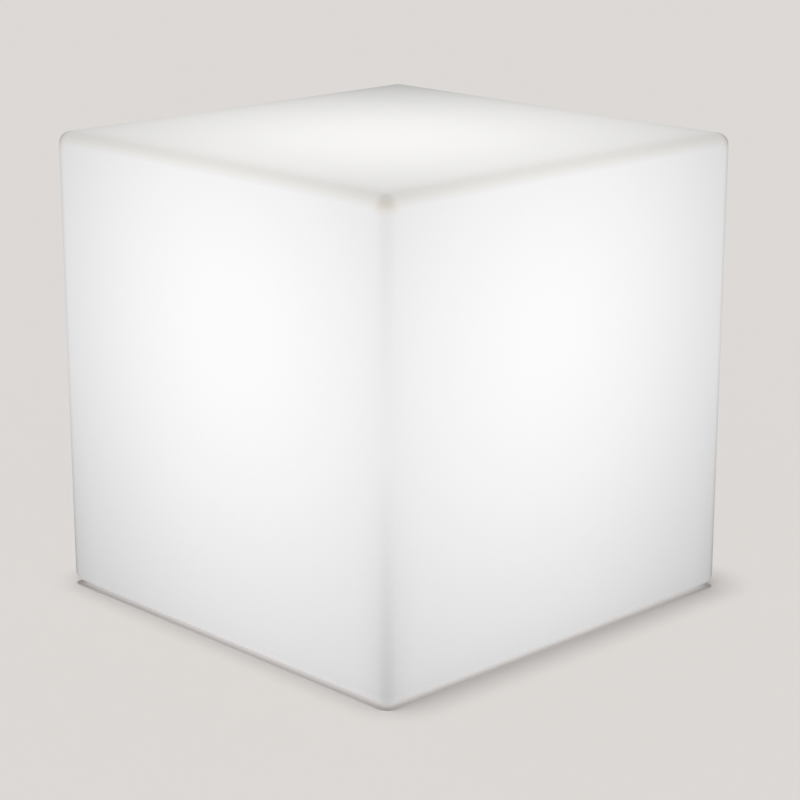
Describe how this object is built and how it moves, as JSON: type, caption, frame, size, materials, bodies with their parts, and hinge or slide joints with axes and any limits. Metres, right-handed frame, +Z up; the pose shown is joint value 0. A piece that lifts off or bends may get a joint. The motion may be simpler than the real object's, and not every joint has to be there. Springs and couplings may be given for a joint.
{
  "type": "led cube light",
  "caption": "Glowing cube light: hollow translucent shell on rubber feet, with a sealed rechargeable LED module fitted up into a recess in its underside.",
  "frame": {"origin": "floor level under the middle of the cube, where the rubber feet stand", "axes": "+Z up; +X and +Y square to the cube's side faces; the charging socket lies towards +X of the middle and the power button towards -X"},
  "size_m": [0.4, 0.4, 0.4],
  "materials": {
    "opal_polyethylene": "rotomoulded polyethylene with a fine satin grain, glowing from inside",
    "foot_rubber": "matt black rubber",
    "insert_brass": "knurled brass",
    "cover_plastic": "fine spark-eroded white plastic",
    "seal_silicone": "matt grey silicone",
    "screw_steel": "stainless steel",
    "cell_wrap": "shrink-wrapped cells",
    "cradle_plastic": "black plastic",
    "nickel": "nickel strip",
    "board_laminate": "green solder mask",
    "chip_plastic": "black epoxy",
    "capacitor_can": "plain cans",
    "header_plastic": "natural nylon",
    "spreader_aluminium": "milled",
    "led_board_white": "white solder mask on aluminium",
    "led_phosphor": "phosphor-filled LEDs",
    "dome_opal": "opal polycarbonate",
    "button_plastic": "satin black",
    "bezel_steel": "brushed stainless",
    "socket_plastic": "black nylon",
    "contact_brass": "plated brass",
    "cap_rubber": "black elastomer",
    "lead_red": "red insulation"
  },
  "bodies": {
    "cube": {"cube_shell": "opal_polyethylene", "threaded_inserts": "insert_brass", "rubber_feet": "foot_rubber", "base_housing": "cover_plastic", "base_gasket": "seal_silicone", "cover_screws": "screw_steel", "battery_cells": "cell_wrap", "battery_cradle": "cradle_plastic", "battery_links": "nickel", "battery_clamp": "cradle_plastic", "battery_screws": "screw_steel", "control_board": "board_laminate", "board_chips": "chip_plastic", "board_capacitors": "capacitor_can", "board_headers": "header_plastic", "board_screws": "screw_steel", "heat_spreader": "spreader_aluminium", "spreader_screws": "screw_steel", "led_board": "led_board_white", "led_board_screws": "screw_steel", "led_chips": "led_phosphor", "led_terminal": "header_plastic", "lead_grommet": "seal_silicone", "dome_seal": "seal_silicone", "diffuser_dome": "dome_opal", "dome_ring": "cover_plastic", "button_housing": "bezel_steel", "switch_tags": "contact_brass", "button_seal": "seal_silicone", "button_nut": "bezel_steel", "charge_socket": "socket_plastic", "socket_pin": "contact_brass", "socket_tags": "contact_brass", "socket_seal": "seal_silicone", "socket_nut": "bezel_steel", "cap_bracket": "bezel_steel", "cap_hinge_pin": "screw_steel", "vent_plug": "socket_plastic", "switch_leads": "lead_red", "socket_leads": "lead_red", "battery_leads": "lead_red", "led_leads": "lead_red"},
    "button": {"power_button": "button_plastic"},
    "cap": {"socket_cap": "cap_rubber"}
  },
  "joints": [
    {"name": "button_press", "type": "slide", "parent": "cube", "child": "button", "axis": [0, 0, 1], "range_m": [0, 0.0018], "stiffness_N_per_m": 500, "springref_m": -0.002},
    {"name": "cap_swing", "type": "hinge", "parent": "cube", "child": "cap", "pos_m": [0.019, 0, 0.0077], "axis": [0, 1, 0], "range_deg": [0, 110]}
  ]
}
